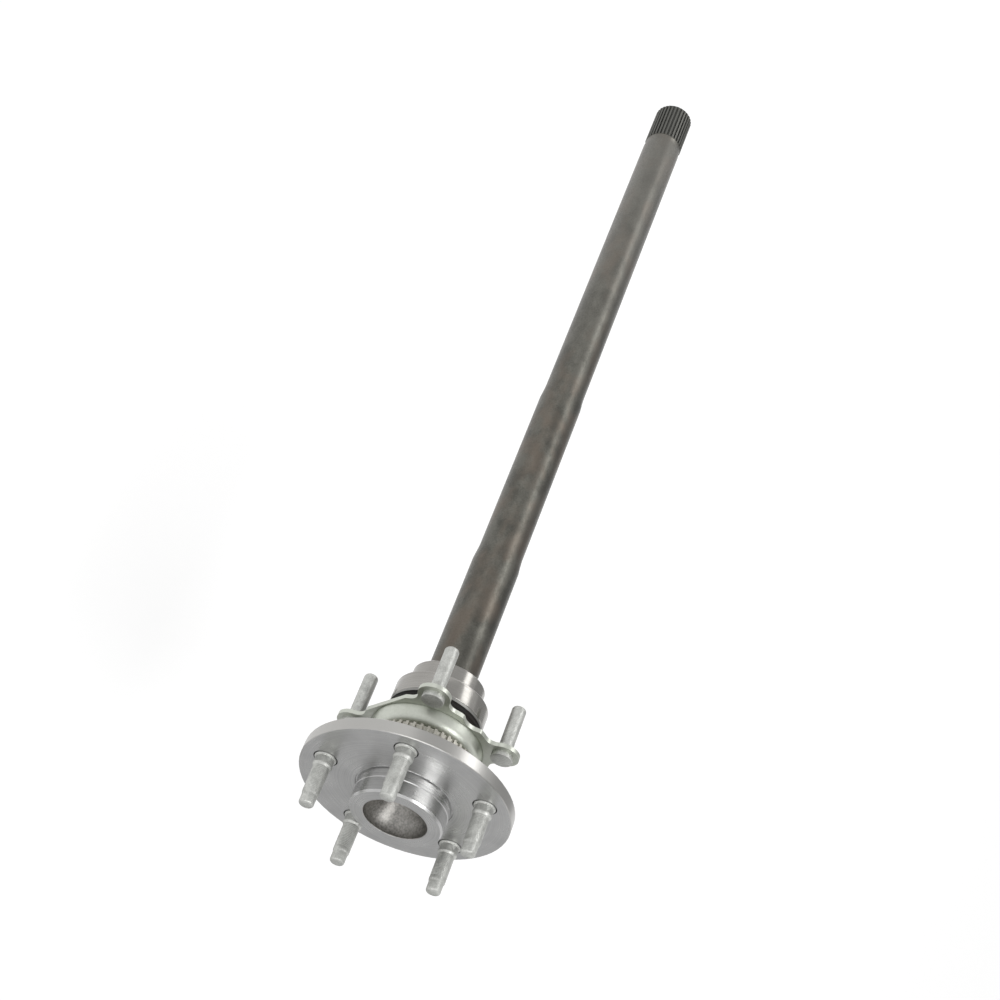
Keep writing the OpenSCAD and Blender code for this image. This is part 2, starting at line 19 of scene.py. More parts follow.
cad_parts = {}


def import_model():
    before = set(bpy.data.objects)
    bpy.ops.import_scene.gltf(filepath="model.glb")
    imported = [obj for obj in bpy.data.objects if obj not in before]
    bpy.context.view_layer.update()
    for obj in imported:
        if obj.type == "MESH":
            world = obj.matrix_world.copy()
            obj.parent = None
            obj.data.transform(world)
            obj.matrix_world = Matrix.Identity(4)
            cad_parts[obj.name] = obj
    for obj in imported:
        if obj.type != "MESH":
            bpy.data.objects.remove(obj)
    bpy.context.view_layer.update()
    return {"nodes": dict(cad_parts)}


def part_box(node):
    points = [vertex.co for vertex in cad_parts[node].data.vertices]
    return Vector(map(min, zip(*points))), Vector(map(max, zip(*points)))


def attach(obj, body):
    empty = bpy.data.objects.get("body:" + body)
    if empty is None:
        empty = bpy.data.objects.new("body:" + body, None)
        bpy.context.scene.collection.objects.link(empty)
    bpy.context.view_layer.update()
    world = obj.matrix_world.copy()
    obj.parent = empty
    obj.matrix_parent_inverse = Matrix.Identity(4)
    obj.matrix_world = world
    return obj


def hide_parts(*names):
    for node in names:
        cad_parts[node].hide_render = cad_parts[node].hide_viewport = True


MM = 0.001
WHITE = (1.0, 1.0, 1.0, 1.0)
# smallest angles, in degrees, that stay crisp on a CAD node's copy and on a turned piece
CRISP = 28.0
TURNED_CRISP = 30.0
# points of a mesh that lie nearer than this, in metres, are one
WELD = 2e-6

# kinds of node that most trees use
MATH = "ShaderNodeMath"
MIX = "ShaderNodeMix"
NOISE = "ShaderNodeTexNoise"
RANGE = "ShaderNodeMapRange"
VECTOR = "ShaderNodeVectorMath"
# sockets of a Mix node, which share their names: the share, two numbers, two colours
SHARE, NUMBER_A, NUMBER_B, COLOUR_A, COLOUR_B = 0, 2, 3, 6, 7
IN_NUMBERS = {"data_type": "FLOAT"}
IN_COLOUR = {"data_type": "RGBA", "out": 2}
# the part of a noise's range that each pattern is drawn from
GRAIN_BAND = {"From Min": 0.3, "From Max": 0.7}
STAIN_BAND = {"From Min": 0.42, "From Max": 0.72}
BLOOM_BAND = {"From Min": 0.45, "From Max": 0.7}
BLOTCH_BAND = {"From Min": 0.38, "From Max": 0.62}
FLECK_BAND = {"From Min": 0.36, "From Max": 0.66}
WARM_BAND = {"From Min": 0.46, "From Max": 0.66}
PIT_BAND = {"From Min": 0.4, "From Max": 0.66}
SATIN_BAND = {"From Min": 0.35, "From Max": 0.65}
# rings and clouds are two noises, added up
RING_BAND = {"From Min": 0.7, "From Max": 1.4}

Colour = tuple[float, float, float, float]
Point = tuple[float, float, float]
Profile = list[tuple[float, float]]
Steps = tuple[tuple[float, float], ...]
Socket = bpy.types.NodeSocket
Tree = bpy.types.NodeTree

log = logging.getLogger("axle_shaft")


def linear(hex_colour: str) -> Colour:
    """Turns an sRGB hex colour into linear light.

    Args:
        hex_colour: colour written as "#rrggbb".

    Returns:
        Linear red, green, blue and an alpha of 1.
    """
    parts = (int(hex_colour[i : i + 2], 16) / 255 for i in (1, 3, 5))
    r, g, b = (c / 12.92 if c <= 0.04045 else ((c + 0.055) / 1.055) ** 2.4 for c in parts)
    return r, g, b, 1.0


def add(
    tree: Tree,
    kind: str,
    links: dict[int | str, object] | None = None,
    out: int | str = 0,
    **settings: object,
) -> Socket | bpy.types.Node:
    """Adds one node, with its settings, constants and links.

    Args:
        tree: the shader or geometry tree.
        kind: Blender's name of the node type.
        links: input socket, by name or number, to a constant or to the socket that feeds it.
        out: which output to hand back, by name or number.
        **settings: properties of the node itself.

    Returns:
        The chosen output socket, or the node where it has no outputs.
    """
    made = tree.nodes.new(kind)
    for key, value in settings.items():
        setattr(made, key, value)
    for key, value in (links or {}).items():
        if isinstance(value, Socket):
            tree.links.new(value, made.inputs[key])
        else:
            made.inputs[key].default_value = value
    return made.outputs[out] if made.outputs else made


class Slot(Enum):
    """Material slots of the record."""

    FORGED = "forged_steel"
    STUD = "stud_steel"
    RING = "ring_steel"
    PLATE = "plate_steel"
    CASE = "case_steel"
    RUBBER = "rubber"
    BEARING = "bearing_steel"
    CAGE = "cage_steel"
    SPRING = "spring_steel"


class Body(Enum):
    """Bodies that the pieces ride on, apart from the rollers' own."""

    HOUSING = "housing_side"
    AXLE = "axle"
    CAGE = "cage"


class Seats(Enum):
    """How a set of studs is laid out."""

    CIRCLE = "circle"
    RECTANGLE = "rectangle"


class Zone(Enum):
    """Places on the forging whose skin lies over the turned metal."""

    RIM = "rim"
    RECESS = "recess"
    # painted shade in and round the gaps at the wheel studs
    GAP_SHADE = "oil"
    SHAFT = "shaft"
    SPLINE = "spline"


@dataclass(frozen=True)
class StudCircle:
    """The circle of wheel studs: its diameter, their count and the first one's turn in degrees."""

    diameter: float = 127.0
    count: int = 5
    clock: float = 29.2


WHEEL_STUDS = StudCircle()


# Finishes


def new_material(name: str) -> tuple[bpy.types.Material, Tree]:
    """Makes a material with an empty tree.

    Args:
        name: name of the material.

    Returns:
        The material and its tree.
    """
    made = bpy.data.materials.new(name)
    made.use_nodes = True
    made.node_tree.nodes.clear()
    return made, made.node_tree


@dataclass(frozen=True)
class Spot:
    """Where a point of a surface lies: object coordinates, their parts, distance from the axis."""

    place: Socket
    x: Socket
    y: Socket
    z: Socket
    radius: Socket

    @classmethod
    def read(cls, tree: Tree) -> "Spot":
        """Reads the spot in a material.

        Args:
            tree: the material's tree.

        Returns:
            The spot's sockets.
        """
        place = add(tree, "ShaderNodeTexCoord", out="Object")
        split = add(tree, "ShaderNodeSeparateXYZ", {0: place}).node
        x, y, z = (split.outputs[k] for k in "XYZ")
        flat = add(tree, "ShaderNodeCombineXYZ", {"Y": y, "Z": z})
        radius = add(tree, VECTOR, {0: flat}, out="Value", operation="LENGTH")
        return cls(place, x, y, z, radius)


@dataclass(frozen=True)
class Finish:
    """A surface: its name, its colour and how it takes light.

    Where a pattern varies the roughness, swing is how far it goes down and up.
    """

    name: str
    colour: str
    roughness: float
    metallic: float = 1.0
    specular: float = 0.5
    swing: tuple[float, float] = (-0.05, 0.08)

    def material(self) -> bpy.types.Material:
        """Builds the material.

        Returns:
            A new material with a principled shader, shaded by surface().
        """
        made, tree = new_material(self.name)
        made.diffuse_color = linear(self.colour)
        inputs = {
            "Base Color": linear(self.colour),
            "Roughness": self.roughness,
            "Metallic": self.metallic,
            "Specular IOR Level": self.specular,
        }
        inputs.update(self.surface(tree))
        shader = add(tree, "ShaderNodeBsdfPrincipled", inputs)
        add(tree, "ShaderNodeOutputMaterial", {"Surface": shader})
        return made

    def surface(self, tree: Tree) -> dict[str, Socket]:
        """Gives the shader inputs that vary over the surface.

        Args:
            tree: the material's tree.

        Returns:
            Shader input name to the socket that feeds it.
        """
        return {}


@dataclass(frozen=True)
class GrainyMetal(Finish):
    """Plated, blasted or sintered metal: an even colour broken by a fine grain and soft stains.

    The real grain is about 0.1 mm, too fine to show, so it is drawn at grain_mm.
    """

    stain: str = "#808080"
    stain_mm: float = 14.0
    stain_share: float = 0.55
    grain_mm: float = 0.8
    grain_depth: float = 0.06
    speck: float = 0.25
    relief: float = 0.5

    def surface(self, tree: Tree) -> dict[str, Socket]:
        """Stains and specks the colour and lets the grain stand out.

        Args:
            tree: the material's tree.

        Returns:
            Shader input name to the socket that feeds it.
        """
        place = add(tree, "ShaderNodeTexCoord", out="Object")
        grain = add(tree, NOISE, {"Vector": place, "Scale": 1 / (self.grain_mm * MM), "Detail": 3.0})
        cloud = add(tree, NOISE, {"Vector": place, "Scale": 1 / (self.stain_mm * MM), "Detail": 4.0})
        stains = add(tree, RANGE, {"Value": cloud, **STAIN_BAND, "To Max": self.stain_share})
        specks = add(tree, RANGE, {"Value": grain, **GRAIN_BAND, "To Max": self.speck})
        share = add(tree, MATH, {0: stains, 1: specks}, operation="ADD", use_clamp=True)
        tints = {SHARE: share, COLOUR_A: linear(self.colour), COLOUR_B: linear(self.stain)}
        colour = add(tree, MIX, tints, **IN_COLOUR)
        low, high = (self.roughness + shift for shift in self.swing)
        rough = add(tree, RANGE, {"Value": grain, **GRAIN_BAND, "To Min": low, "To Max": high})
        bumps = {"Height": grain, "Strength": self.relief, "Distance": self.grain_depth * MM}
        relief = add(tree, "ShaderNodeBump", bumps)
        return {"Base Color": colour, "Roughness": rough, "Normal": relief}


@dataclass(frozen=True)
class MouldedRubber(Finish):
    """Moulded rubber: near black, with the mould's fine grain and a faint grey bloom.

    The mould's real grain is under 0.1 mm, too fine to show, so it is drawn at grain_mm.
    """

    bloom: str = "#242423"
    bloom_mm: float = 9.0
    grain_mm: float = 0.7
    grain_depth: float = 0.05
    relief: float = 0.4

    def surface(self, tree: Tree) -> dict[str, Socket]:
        """Blooms the colour and lets the mould's grain stand out.

        Args:
            tree: the material's tree.

        Returns:
            Shader input name to the socket that feeds it.
        """
        place = add(tree, "ShaderNodeTexCoord", out="Object")
        grain = add(tree, NOISE, {"Vector": place, "Scale": 1 / (self.grain_mm * MM), "Detail": 2.0})
        cloud = add(tree, NOISE, {"Vector": place, "Scale": 1 / (self.bloom_mm * MM), "Detail": 3.0})
        share = add(tree, RANGE, {"Value": cloud, **BLOOM_BAND})
        tints = {SHARE: share, COLOUR_A: linear(self.colour), COLOUR_B: linear(self.bloom)}
        colour = add(tree, MIX, tints, **IN_COLOUR)
        bumps = {"Height": grain, "Strength": self.relief, "Distance": self.grain_depth * MM}
        relief = add(tree, "ShaderNodeBump", bumps)
        return {"Base Color": colour, "Normal": relief}


def turned_rings(tree: Tree, spot: Spot, ring_mm: float, cloud_mm: float = 22.0) -> tuple[Socket, Socket]:
    """Draws the tool's rings: by station on a cylinder and by radius on a face.

    The real feed is about 0.1 mm, too fine to show, so the rings are drawn at ring_mm.

    Args:
        tree: the material's tree.
        spot: where the point lies.
        ring_mm: mean width of a ring.
        cloud_mm: mean width of the faint clouds over the rings.

    Returns:
        Two sockets from 0 to 1: the soft shade of the rings, and their height.
    """
    path = add(tree, MATH, {0: spot.radius, 1: spot.x}, operation="ADD")
    rings = add(
        tree, NOISE, {"W": path, "Scale": 1 / (ring_mm * MM), "Detail": 3.0, "Roughness": 0.7},
        noise_dimensions="1D",
    )
    cloud = add(tree, NOISE, {"Vector": spot.place, "Scale": 1 / (cloud_mm * MM), "Detail": 3.0})
    both = add(tree, MATH, {0: rings, 1: cloud}, operation="ADD")
    shade = add(tree, RANGE, {"Value": both, **RING_BAND})
    return shade, rings


@dataclass(frozen=True)
class TurnedMetal(Finish):
    """Turned or ground metal: fine rings round the axle's axis and a faint cloudiness."""

    swing: tuple[float, float] = (-0.04, 0.08)
    shade: str = "#808080"
    ring_mm: float = 0.9
    ring_depth: float = 0.02
    relief: float = 0.4

    def surface(self, tree: Tree) -> dict[str, Socket]:
        """Lays rings over the colour, the roughness and the relief.

        Args:
            tree: the material's tree.

        Returns:
            Shader input name to the socket that feeds it.
        """
        shade, rings = turned_rings(tree, Spot.read(tree), self.ring_mm)
        tints = {SHARE: shade, COLOUR_A: linear(self.colour), COLOUR_B: linear(self.shade)}
        colour = add(tree, MIX, tints, **IN_COLOUR)
        low, high = (self.roughness + shift for shift in self.swing)
        rough = add(tree, RANGE, {"Value": shade, "To Min": low, "To Max": high})
        bumps = {"Height": rings, "Strength": self.relief, "Distance": self.ring_depth * MM}
        relief = add(tree, "ShaderNodeBump", bumps)
        return {"Base Color": colour, "Roughness": rough, "Normal": relief}


@dataclass(frozen=True)
class ForgedShaft(Finish):
    """The one-piece forging: turned bright at the wheel end, dark and mottled along the shaft.

    Turning leaves rings on the flange, pilot and seats, and painted shade darkens the gaps
    round the studs and a thin ring of the face round them. The shaft keeps the blotched dark skin
    of its heat treatment under an oily film, with a painted reflection that grows paler towards
    the spline, the recess the coarse skin of the die, and the spline a dull cut. A field that
    ends in _run is the length over which a skin begins.
    """

    swing: tuple[float, float] = (-0.03, 0.07)
    shade: str = "#acacac"
    ring_mm: float = 1.2
    ring_height: float = 0.2
    relief: float = 0.5
    relief_mm: float = 0.1

    rim: str = "#b1b0ad"
    rim_r: float = 81.2
    rim_run: float = 0.3
    rim_roughness: float = 0.28

    recess: str = "#807f7c"
    recess_light: str = "#a6a39f"
    recess_r: float = 25.2
    recess_run: float = 0.7
    recess_to: float = -9.0
    recess_roughness: tuple[float, float] = (0.31, 0.47)
    pit_mm: float = 1.6
    pit_height: float = 2.0

    # painted shade in the gap round each wheel stud and on a thin ring of the face round it
    oil: str = "#1f1e1d"
    gap_shade_r: float = 9.6
    gap_shade_run: float = 0.5
    gap_shade_depth: float = 4.0
    gap_shade_roughness: float = 0.6

    skin: str = "#686761"
    skin_dark: str = "#54534e"
    skin_warm: str = "#6e655c"
    # painted reflection: the paler tint towards the spline
    painted_reflection_tint: str = "#7e7c76"
    skin_from: float = -105.5
    skin_run: float = 1.2
    skin_roughness: tuple[float, float] = (0.32, 0.46)
    skin_stretch: Point = (0.6, 1.0, 1.0)
    blotch_mm: float = 13.0
    fleck_mm: float = 1.4
    fleck_share: float = 0.2
    fleck_height: float = 0.5
    warm_mm: float = 19.0
    warm_share: float = 0.65
    # painted reflection: where the skin starts to grow paler towards the spline, and how much
    painted_reflection_from: float = -380.0
    painted_reflection_share: float = 0.5

    tooth_gap: str = "#5a5a57"
    tooth_tip: str = "#6b6b67"
    tooth_roughness: float = 0.58
    spline_from: float = -750.9
    spline_run: float = 1.6
    tip_r: float = 17.3
    tip_run: float = 0.5

    def surface(self, tree: Tree) -> dict[str, Socket]:
        """Lays the skin of each zone over the turned metal.

        Args:
            tree: the material's tree.

        Returns:
            Shader input name to the socket that feeds it.
        """
        spot = Spot.read(tree)
        shade, rings = turned_rings(tree, spot, self.ring_mm)
        fleck = add(tree, NOISE, {"Vector": spot.place, "Scale": 1 / (self.fleck_mm * MM), "Detail": 4.0})
        pits = add(
            tree, NOISE,
            {"Vector": spot.place, "Scale": 1 / (self.pit_mm * MM), "Detail": 5.0, "Roughness": 0.6},
        )
        die = add(tree, RANGE, {"Value": pits, **PIT_BAND})
        tip_from = (self.tip_r - self.tip_run) * MM
        tips = add(tree, RANGE, {"Value": spot.radius, "From Min": tip_from, "From Max": self.tip_r * MM})
        pairs = (
            (shade, self.colour, self.shade),
            (die, self.recess, self.recess_light),
            (tips, self.tooth_gap, self.tooth_tip),
        )
        colour, cast, cut = (
            add(tree, MIX, {SHARE: share, COLOUR_A: linear(one), COLOUR_B: linear(two)}, **IN_COLOUR)
            for share, one, two in pairs
        )

        # roughness of the turned metal, the recess and the shaft
        ranges = (
            ({"Value": shade}, (self.roughness + shift for shift in self.swing)),
            ({"Value": pits, **SATIN_BAND}, self.recess_roughness),
            ({"Value": fleck, **GRAIN_BAND}, self.skin_roughness),
        )
        rough, satin, worn = (
            add(tree, RANGE, {**source, "To Min": low, "To Max": high}) for source, (low, high) in ranges
        )

        # height of the turned metal, the recess and the shaft
        heights = ((rings, self.ring_height), (pits, self.pit_height), (fleck, self.fleck_height))
        height, coarse, fine = (
            add(tree, MATH, {0: pattern, 1: rise}, operation="MULTIPLY") for pattern, rise in heights
        )

        # each zone's colour, roughness and, where it has its own, height
        skins = {
            Zone.RIM: (linear(self.rim), self.rim_roughness, fine),
            Zone.RECESS: (cast, satin, coarse),
            # painted shade in and round the gaps at the wheel studs
            Zone.GAP_SHADE: (linear(self.oil), self.gap_shade_roughness, None),
            Zone.SHAFT: (self._shaft_colour(tree, spot, fleck), worn, fine),
            Zone.SPLINE: (cut, self.tooth_roughness, None),
        }
        zones = self._zones(tree, spot)
        for zone, (tint, gloss, bumps) in skins.items():
            inside = zones[zone]
            colour = add(tree, MIX, {SHARE: inside, COLOUR_A: colour, COLOUR_B: tint}, **IN_COLOUR)
            rough = add(tree, MIX, {SHARE: inside, NUMBER_A: rough, NUMBER_B: gloss}, **IN_NUMBERS)
            if bumps is not None:
                height = add(tree, MIX, {SHARE: inside, NUMBER_A: height, NUMBER_B: bumps}, **IN_NUMBERS)
        relief = add(
            tree, "ShaderNodeBump",
            {"Height": height, "Strength": self.relief, "Distance": self.relief_mm * MM},
        )
        return {"Base Color": colour, "Roughness": rough, "Normal": relief}

    def _zones(self, tree: Tree, spot: Spot) -> dict[Zone, Socket]:
        """Finds where each skin lies.

        Args:
            tree: the material's tree.
            spot: where the point lies.

        Returns:
            Zone to a socket that is 1 inside it and 0 outside.
        """
        # what is measured, where the skin begins and where it is full
        edges = {
            Zone.RIM: (spot.radius, self.rim_r - self.rim_run, self.rim_r),
            Zone.RECESS: (spot.radius, self.recess_r, self.recess_r - self.recess_run),
            Zone.SHAFT: (spot.x, self.skin_from, self.skin_from - self.skin_run),
            Zone.SPLINE: (spot.x, self.spline_from, self.spline_from - self.spline_run),
        }
        found = {
            zone: add(tree, RANGE, {"Value": measure, "From Min": start * MM, "From Max": full * MM})
            for zone, (measure, start, full) in edges.items()
        }
        outboard = add(tree, MATH, {0: spot.x, 1: self.recess_to * MM}, operation="GREATER_THAN")
        found[Zone.RECESS] = add(tree, MATH, {0: found[Zone.RECESS], 1: outboard}, operation="MULTIPLY")
        # painted shade in the gaps round the wheel studs
        found[Zone.GAP_SHADE] = self._stud_gap_shade(tree, spot)
        return found

    def _shaft_colour(self, tree: Tree, spot: Spot, fleck: Socket) -> Socket:
        """Mottles the dark skin: blotches of one to three centimetres, drawn out along the shaft.

        Then paints a reflection that makes the skin grow paler towards the spline.

        Args:
            tree: the material's tree.
            spot: where the point lies.
            fleck: the fine noise over the blotches.

        Returns:
            The socket of the skin's colour.
        """
        drawn = add(tree, "ShaderNodeMapping", {"Vector": spot.place, "Scale": self.skin_stretch})
        blotch = add(
            tree, NOISE,
            {"Vector": drawn, "Scale": 1 / (self.blotch_mm * MM), "Detail": 4.0, "Roughness": 0.55},
        )
        warmth = add(tree, NOISE, {"Vector": drawn, "Scale": 1 / (self.warm_mm * MM), "Detail": 3.0})
        blotches = add(tree, RANGE, {"Value": blotch, **BLOTCH_BAND})
        flecks = add(
            tree, RANGE,
            {"Value": fleck, **FLECK_BAND, "To Min": -self.fleck_share, "To Max": self.fleck_share},
        )
        mottle = add(tree, MATH, {0: blotches, 1: flecks}, operation="ADD", use_clamp=True)
        warm = add(tree, RANGE, {"Value": warmth, **WARM_BAND, "To Max": self.warm_share})
        # painted reflection: the skin grows paler towards the spline, where the far end reflects a brighter
        # room
        pale = add(
            tree, RANGE,
            {"Value": spot.x, "From Min": self.painted_reflection_from * MM, "From Max": self.spline_from * MM,
             "To Max": self.painted_reflection_share},
        )
        colour = linear(self.skin)
        for share, tint in ((mottle, self.skin_dark), (warm, self.skin_warm), (pale, self.painted_reflection_tint)):
            colour = add(tree, MIX, {SHARE: share, COLOUR_A: colour, COLOUR_B: linear(tint)}, **IN_COLOUR)
        return colour

    def _stud_gap_shade(self, tree: Tree, spot: Spot) -> Socket:
        """Finds the painted shade in the gap round each wheel stud, where shade falls.

        Args:
            tree: the material's tree.
            spot: where the point lies.

        Returns:
            A socket that is 1 in the gaps and on a thin ring of the face round them.
        """
        step = math.tau / WHEEL_STUDS.count
        turn = add(tree, MATH, {0: spot.y, 1: spot.z}, operation="ARCTAN2")
        turn = add(tree, MATH, {0: turn, 1: math.radians(WHEEL_STUDS.clock)}, operation="SUBTRACT")
        steps = add(tree, MATH, {0: turn, 1: step}, operation="DIVIDE")
        nearest = add(tree, MATH, {0: steps}, operation="ROUND")
        off = add(tree, MATH, {0: steps, 1: nearest}, operation="SUBTRACT")
        off = add(tree, MATH, {0: off, 1: step}, operation="MULTIPLY")
        side, rise = (add(tree, MATH, {0: off}, operation=kind) for kind in ("SINE", "COSINE"))
        way = add(tree, "ShaderNodeCombineXYZ", {"X": side, "Y": rise})
        here = add(tree, VECTOR, {0: way, "Scale": spot.radius}, operation="SCALE")
        stud = (0.0, WHEEL_STUDS.diameter / 2 * MM, 0.0)
        away = add(tree, VECTOR, {0: here, 1: stud}, out="Value", operation="DISTANCE")
        full = (self.gap_shade_r - self.gap_shade_run) * MM
        ring = add(tree, RANGE, {"Value": away, "From Min": self.gap_shade_r * MM, "From Max": full})
        front = add(tree, MATH, {0: spot.x, 1: -self.gap_shade_depth * MM}, operation="GREATER_THAN")
        return add(tree, MATH, {0: ring, 1: front}, operation="MULTIPLY")


FINISHES: dict[Slot, Finish] = {
    # drop-forged, turned and hardened steel: satin grey rings, then a dark oiled skin
    Slot.FORGED: ForgedShaft("forged_steel_turned_and_hardened", "#c7c7c6", roughness=0.29),
    # rolled steel under zinc flake: pale, matte and a little chalky
    Slot.STUD: GrainyMetal(
        "rolled_steel_zinc_flake", "#d2d3cf", roughness=0.46, metallic=0.85, stain="#a6a7a3",
        stain_mm=7, grain_mm=1.1, speck=0.5,
    ),
    # pressed and sintered powder steel: pale, warm and matte
    Slot.RING: GrainyMetal("sintered_powder_steel", "#bbb9b0", roughness=0.5, metallic=0.9, stain="#a3a198"),
    # stamped steel under clear zinc: satin with a cool green cast
    Slot.PLATE: GrainyMetal(
        "stamped_steel_clear_zinc", "#cacdc4", roughness=0.38, stain="#b7bbb1", stain_mm=24,
        grain_mm=1.6, grain_depth=0.02,
    ),
    # pressed sheet steel, left bare: plain mid grey with a soft sheen
    Slot.CASE: GrainyMetal("pressed_sheet_steel", "#8f8f8c", roughness=0.4, stain="#787875"),
    # moulded nitrile rubber: deep black with a dull sheen
    Slot.RUBBER: MouldedRubber(
        "moulded_nitrile_rubber", "#231f1d", roughness=0.7, metallic=0.0, specular=0.2
    ),
    # hardened chrome steel, ground: bright with fine rings
    Slot.BEARING: TurnedMetal("ground_bearing_steel", "#a3a19d", roughness=0.2, shade="#95938f", ring_mm=1.3),
    # stamped steel, phosphated: dull dark grey
    Slot.CAGE: GrainyMetal("stamped_steel_phosphated", "#767470", roughness=0.5, stain="#605e5b"),
    # drawn spring wire: plain bright grey
    Slot.SPRING: TurnedMetal("drawn_spring_wire", "#9a9996", roughness=0.3, shade="#868581", ring_mm=0.6),
}


class Finisher:
    """Hands out one material for each slot and dresses pieces in it."""

    def __init__(self) -> None:
        """Starts with no materials made."""
        self._made: dict[Slot, bpy.types.Material] = {}

    def get(self, slot: Slot) -> bpy.types.Material:
        """Gives the slot's material, made on first use.

        Args:
            slot: the record's material slot.

        Returns:
            The material.
        """
        if slot not in self._made:
            self._made[slot] = FINISHES[slot].material()
        return self._made[slot]

    def dress(self, piece: bpy.types.Object, slot: Slot) -> None:
        """Gives a piece the material of its slot.

        Args:
            piece: the mesh object.
            slot: the record's material slot.
        """
        piece.data.materials.clear()
        piece.data.materials.append(self.get(slot))


# Meshes


def new_object(name: str, mesh: bpy.types.Mesh) -> bpy.types.Object:
    """Links a mesh into the scene as an object at the origin.

    Args:
        name: name of the object and its mesh.
        mesh: the mesh, with its place in its vertices.

    Returns:
        The new object.
    """
    mesh.name = name
    made = bpy.data.objects.new(name, mesh)
    bpy.context.scene.collection.objects.link(made)
    return made


def smooth_by_angle(shape: bmesh.types.BMesh, degrees: float) -> None:
    """Shades faces smooth and marks edges sharper than an angle.

    Args:
        shape: the mesh being edited.
        degrees: smallest angle between two faces that stays sharp.
    """
    for face in shape.faces:
        face.smooth = True
    for edge in shape.edges:
        edge.smooth = edge.calc_face_angle(math.pi) < math.radians(degrees)


def smooth_copy(node: bpy.types.Object, degrees: float = CRISP) -> bpy.types.Object:
    """Copies a CAD node as a merged mesh with smooth round faces and crisp edges.

    Args:
        node: the CAD node, which stays as it is.
        degrees: smallest angle that stays a crisp edge.

    Returns:
        The new object, in the node's place.
    """
    shape = bmesh.new()
    shape.from_mesh(node.data)
    bmesh.ops.remove_doubles(shape, verts=shape.verts, dist=WELD)
    smooth_by_angle(shape, degrees)
    mesh = bpy.data.meshes.new(node.name)
    shape.to_mesh(mesh)
    shape.free()
    return new_object(f"{node.name}_dressed", mesh)


def turned(name: str, profile: Profile, columns: int) -> bpy.types.Object:
    """Turns a closed-ended profile round the X axis.

    Args:
        name: name of the object.
        profile: radius and x of each point in millimetres, from one end on the axis to the other.
        columns: faces round the axis.

    Returns:
        The turned object.
    """
    shape = bmesh.new()
    rows = []
    for radius, x in profile:
        count = columns if radius > 0 else 1
        row = [
            shape.verts.new((x * MM, radius * MM * math.sin(t), radius * MM * math.cos(t)))
            for t in (math.tau * i / columns for i in range(count))
        ]
        rows.append(row)
    for low, high in zip(rows, rows[1:]):
        for i in range(columns):
            j = (i + 1) % columns
            ring = [low[i % len(low)], low[j % len(low)], high[j % len(high)], high[i % len(high)]]
            shape.faces.new(list(dict.fromkeys(ring)))
    bmesh.ops.recalc_face_normals(shape, faces=shape.faces)
    smooth_by_angle(shape, TURNED_CRISP)
    mesh = bpy.data.meshes.new(name)
    shape.to_mesh(mesh)
    shape.free()
    return new_object(name, mesh)


def eased(radius: float, x: float, steps: Steps) -> Profile:
    """Gives the points that ease a corner of a profile.

    Args:
        radius: the corner's radius.
        x: the corner's x.
        steps: how far each point lies from the corner, by radius and by x.

    Returns:
        Radius and x of each point.
    """
    return [(radius + out, x + along) for out, along in steps]


def stepped(profile: Profile, start: float, end: float, step: float) -> Profile:
    """Splits the straight run of a profile between two stations into even rows.

    Args:
        profile: radius and x of each point.
        start: x where the finer rows begin.
        end: x where they end.
        step: length of one row.

    Returns:
        The profile with the added points.
    """
    made: Profile = []
    slack = 1e-6
    first, last = min(start, end) - slack, max(start, end) + slack
    for (r0, x0), (r1, x1) in zip(profile, profile[1:]):
        made.append((r0, x0))
        if min(x0, x1) >= first and max(x0, x1) <= last:
            count = max(1, round(abs(x1 - x0) / step))
            made += [(r0 + (r1 - r0) * i / count, x0 + (x1 - x0) * i / count) for i in range(1, count)]
    made.append(profile[-1])
    return made


def new_tree(name: str, sizes: Iterable[str], counts: Iterable[str]) -> tuple[Tree, dict[str, str]]:
    """Starts a geometry tree with named inputs: sizes, counts and a material.

    Args:
        name: name of the tree.
        sizes: names of the inputs that are lengths or angles.
        counts: names of the inputs that are whole numbers.

    Returns:
        The tree, and each input's name with its identifier.
    """
    tree = bpy.data.node_groups.new(name, "GeometryNodeTree")
    tree.interface.new_socket("Geometry", in_out="INPUT", socket_type="NodeSocketGeometry")
    tree.interface.new_socket("Geometry", in_out="OUTPUT", socket_type="NodeSocketGeometry")
    kinds = dict.fromkeys(sizes, "NodeSocketFloat") | dict.fromkeys(counts, "NodeSocketInt")
    kinds["Material"] = "NodeSocketMaterial"
    keys = {
        label: tree.interface.new_socket(label, in_out="INPUT", socket_type=kind).identifier
        for label, kind in kinds.items()
    }
    return tree, keys


def run_tree(
    base: bpy.types.Object, tree: Tree, keys: dict[str, str], values: dict[str, object]
) -> bpy.types.Object:
    """Runs a geometry tree on an object and keeps the result as a plain mesh.

    Args:
        base: the object that the tree starts from.
        tree: the geometry tree.
        keys: each input's name with its identifier.
        values: input name to value.

    Returns:
        The same object with the finished mesh and no modifier.
    """
    modifier = base.modifiers.new(tree.name, "NODES")
    modifier.node_group = tree
    for label, value in values.items():
        modifier[keys[label]] = value
    seen = base.evaluated_get(bpy.context.evaluated_depsgraph_get())
    mesh = bpy.data.meshes.new_from_object(seen)
    base.modifiers.remove(modifier)
    old = base.data
    base.data = mesh
    bpy.data.meshes.remove(old)
    mesh.name = base.name
    return base


